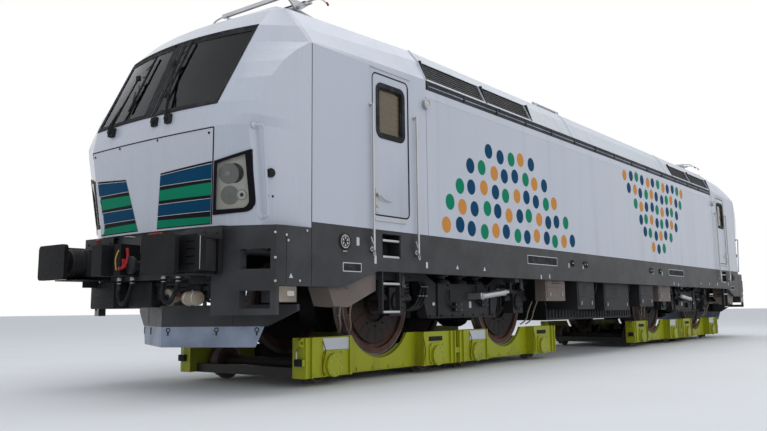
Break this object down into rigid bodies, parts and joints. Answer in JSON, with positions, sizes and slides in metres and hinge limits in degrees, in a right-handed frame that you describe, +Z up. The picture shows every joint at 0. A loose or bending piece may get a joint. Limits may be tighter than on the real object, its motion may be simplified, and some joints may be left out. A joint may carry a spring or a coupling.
{
  "type": "electric locomotive",
  "caption": "Electric locomotive with a hollow cab at each end and folding roof current collectors, standing on yellow-green transport dollies.",
  "frame": {"origin": "on the floor under the middle of the vehicle, below the dolly wheel flanges", "axes": "+X out of the front cab, the end nearest the camera, +Y to the left side, +Z up"},
  "size_m": [18.98, 3.12, 4.5129],
  "materials": {
    "bogie_black": "satin",
    "hose_rubber": "matte",
    "frame_grey": "satin",
    "cab_plastic": "matte",
    "body_white": "satin",
    "roof_white": "satin",
    "nose_white": "gloss",
    "step_steel": "matte",
    "cast_black": "matte",
    "damper_grey": "satin",
    "dolly_yellow": "satin",
    "dolly_wheel_iron": "rusted",
    "tinted_glass": "clear",
    "box_grey": "matte",
    "lamp_housing": "satin",
    "insulator_brown": "gloss",
    "motor_black": "matte",
    "pan_steel": "satin",
    "pan_aluminium": "satin",
    "blade_grey": "scratched",
    "louvre_black": "matte",
    "rail_steel": "satin",
    "spring_black": "satin",
    "wheel_iron": "rusted",
    "wiper_black": "matte",
    "roof_equipment_steel": "satin"
  },
  "bodies": {
    "bogie_front": {"bogie_frame_front": "bogie_black", "dampers_front": "damper_grey", "dollies_front": "dolly_yellow", "motors_front": "motor_black", "springs_front": "spring_black"},
    "bogie_rear": {"bogie_frame_rear": "bogie_black", "dampers_rear": "damper_grey", "dollies_rear": "dolly_yellow", "motors_rear": "motor_black", "springs_rear": "spring_black"},
    "locomotive": {"brake_hoses": "hose_rubber", "buffers": "frame_grey", "cab_interiors": "cab_plastic", "cab_roofs": "body_white", "cab_steps": "step_steel", "cab_walls": "body_white", "couplers": "cast_black", "floor_boxes": "box_grey", "front_modules": "frame_grey", "glazing": "tinted_glass", "headlights": "lamp_housing", "insulators": "insulator_brown", "machine_roofs": "roof_white", "noses": "nose_white", "pan_bases": "pan_steel", "plow_blades": "blade_grey", "plows": "frame_grey", "roof_equipment": "roof_equipment_steel", "roof_louvres": "louvre_black", "side_fittings": "rail_steel", "side_walls": "body_white", "transformer": "box_grey", "underframe": "frame_grey", "wipers": "wiper_black"},
    "dolly_axle_front_a1": {"dolly_axle_front_a1": "dolly_wheel_iron"},
    "dolly_axle_front_a2": {"dolly_axle_front_a2": "dolly_wheel_iron"},
    "dolly_axle_front_b1": {"dolly_axle_front_b1": "dolly_wheel_iron"},
    "dolly_axle_front_b2": {"dolly_axle_front_b2": "dolly_wheel_iron"},
    "dolly_axle_rear_a1": {"dolly_axle_rear_a1": "dolly_wheel_iron"},
    "dolly_axle_rear_a2": {"dolly_axle_rear_a2": "dolly_wheel_iron"},
    "dolly_axle_rear_b1": {"dolly_axle_rear_b1": "dolly_wheel_iron"},
    "dolly_axle_rear_b2": {"dolly_axle_rear_b2": "dolly_wheel_iron"},
    "cab_door_front_left": {"door_front_left": "body_white", "door_pane_front_left": "tinted_glass"},
    "cab_door_front_right": {"door_front_right": "body_white", "door_pane_front_right": "tinted_glass"},
    "cab_door_rear_left": {"door_pane_rear_left": "tinted_glass", "door_rear_left": "body_white"},
    "cab_door_rear_right": {"door_pane_rear_right": "tinted_glass", "door_rear_right": "body_white"},
    "pan_head_front": {"pan_head_front": "pan_aluminium"},
    "pan_head_rear": {"pan_head_rear": "pan_aluminium"},
    "pan_lower_front": {"pan_lower_front": "pan_steel"},
    "pan_lower_rear": {"pan_lower_rear": "pan_steel"},
    "pan_upper_front": {"pan_upper_front": "pan_steel"},
    "pan_upper_rear": {"pan_upper_rear": "pan_steel"},
    "wheelset_front_a": {"wheelset_front_a": "wheel_iron"},
    "wheelset_front_b": {"wheelset_front_b": "wheel_iron"},
    "wheelset_rear_a": {"wheelset_rear_a": "wheel_iron"},
    "wheelset_rear_b": {"wheelset_rear_b": "wheel_iron"}
  },
  "joints": [
    {"name": "bogie_swivel_front", "type": "hinge", "parent": "locomotive", "child": "bogie_front", "pos_m": [4.75, 0, 1.018], "axis": [0, 0, 1], "range_deg": [-3, 3]},
    {"name": "wheelset_spin_front_a", "type": "hinge", "parent": "bogie_front", "child": "wheelset_front_a", "pos_m": [6.25, 0, 0.893], "axis": [0, 1, 0], "continuous": true},
    {"name": "dolly_axle_spin_front_a1", "type": "hinge", "parent": "bogie_front", "child": "dolly_axle_front_a1", "pos_m": [7.26, 0, 0.218], "axis": [0, 1, 0], "continuous": true},
    {"name": "dolly_axle_spin_front_a2", "type": "hinge", "parent": "bogie_front", "child": "dolly_axle_front_a2", "pos_m": [5.24, 0, 0.218], "axis": [0, 1, 0], "continuous": true},
    {"name": "wheelset_spin_front_b", "type": "hinge", "parent": "bogie_front", "child": "wheelset_front_b", "pos_m": [3.25, 0, 0.893], "axis": [0, 1, 0], "continuous": true},
    {"name": "dolly_axle_spin_front_b1", "type": "hinge", "parent": "bogie_front", "child": "dolly_axle_front_b1", "pos_m": [4.26, 0, 0.218], "axis": [0, 1, 0], "continuous": true},
    {"name": "dolly_axle_spin_front_b2", "type": "hinge", "parent": "bogie_front", "child": "dolly_axle_front_b2", "pos_m": [2.24, 0, 0.218], "axis": [0, 1, 0], "continuous": true},
    {"name": "cab_door_hinge_front_left", "type": "hinge", "parent": "locomotive", "child": "cab_door_front_left", "pos_m": [6.505, 1.476, 2.639], "axis": [0, 0, -1], "range_deg": [0, 80]},
    {"name": "cab_door_hinge_front_right", "type": "hinge", "parent": "locomotive", "child": "cab_door_front_right", "pos_m": [6.505, -1.476, 2.639], "axis": [0, 0, 1], "range_deg": [0, 80]},
    {"name": "pan_lower_hinge_front", "type": "hinge", "parent": "locomotive", "child": "pan_lower_front", "pos_m": [7.05, 0, 4.318], "axis": [0, 1, 0], "range_deg": [0, 42]},
    {"name": "pan_upper_hinge_front", "type": "hinge", "parent": "pan_lower_front", "child": "pan_upper_front", "pos_m": [5.35, 0, 4.318], "axis": [0, 1, 0], "range_deg": [-82, 0]},
    {"name": "pan_head_hinge_front", "type": "hinge", "parent": "pan_upper_front", "child": "pan_head_front", "pos_m": [7.35, 0, 4.378], "axis": [0, 1, 0], "range_deg": [0, 40]},
    {"name": "bogie_swivel_rear", "type": "hinge", "parent": "locomotive", "child": "bogie_rear", "pos_m": [-4.75, 0, 1.018], "axis": [0, 0, 1], "range_deg": [-3, 3]},
    {"name": "wheelset_spin_rear_a", "type": "hinge", "parent": "bogie_rear", "child": "wheelset_rear_a", "pos_m": [-3.25, 0, 0.893], "axis": [0, 1, 0], "continuous": true},
    {"name": "dolly_axle_spin_rear_a1", "type": "hinge", "parent": "bogie_rear", "child": "dolly_axle_rear_a1", "pos_m": [-2.24, 0, 0.218], "axis": [0, 1, 0], "continuous": true},
    {"name": "dolly_axle_spin_rear_a2", "type": "hinge", "parent": "bogie_rear", "child": "dolly_axle_rear_a2", "pos_m": [-4.26, 0, 0.218], "axis": [0, 1, 0], "continuous": true},
    {"name": "wheelset_spin_rear_b", "type": "hinge", "parent": "bogie_rear", "child": "wheelset_rear_b", "pos_m": [-6.25, 0, 0.893], "axis": [0, 1, 0], "continuous": true},
    {"name": "dolly_axle_spin_rear_b1", "type": "hinge", "parent": "bogie_rear", "child": "dolly_axle_rear_b1", "pos_m": [-5.24, 0, 0.218], "axis": [0, 1, 0], "continuous": true},
    {"name": "dolly_axle_spin_rear_b2", "type": "hinge", "parent": "bogie_rear", "child": "dolly_axle_rear_b2", "pos_m": [-7.26, 0, 0.218], "axis": [0, 1, 0], "continuous": true},
    {"name": "cab_door_hinge_rear_left", "type": "hinge", "parent": "locomotive", "child": "cab_door_rear_left", "pos_m": [-6.505, 1.476, 2.639], "axis": [0, 0, 1], "range_deg": [0, 80]},
    {"name": "cab_door_hinge_rear_right", "type": "hinge", "parent": "locomotive", "child": "cab_door_rear_right", "pos_m": [-6.505, -1.476, 2.639], "axis": [0, 0, -1], "range_deg": [0, 80]},
    {"name": "pan_lower_hinge_rear", "type": "hinge", "parent": "locomotive", "child": "pan_lower_rear", "pos_m": [-7.05, 0, 4.318], "axis": [0, -1, 0], "range_deg": [0, 42]},
    {"name": "pan_upper_hinge_rear", "type": "hinge", "parent": "pan_lower_rear", "child": "pan_upper_rear", "pos_m": [-5.35, 0, 4.318], "axis": [0, -1, 0], "range_deg": [-82, 0]},
    {"name": "pan_head_hinge_rear", "type": "hinge", "parent": "pan_upper_rear", "child": "pan_head_rear", "pos_m": [-7.35, 0, 4.378], "axis": [0, -1, 0], "range_deg": [0, 40]}
  ],
  "couplings": [
    {"joint": "pan_upper_hinge_front", "follows": "pan_lower_hinge_front", "ratio": -1.92},
    {"joint": "pan_head_hinge_front", "follows": "pan_lower_hinge_front", "ratio": 0.92},
    {"joint": "pan_upper_hinge_rear", "follows": "pan_lower_hinge_rear", "ratio": -1.92},
    {"joint": "pan_head_hinge_rear", "follows": "pan_lower_hinge_rear", "ratio": 0.92}
  ]
}
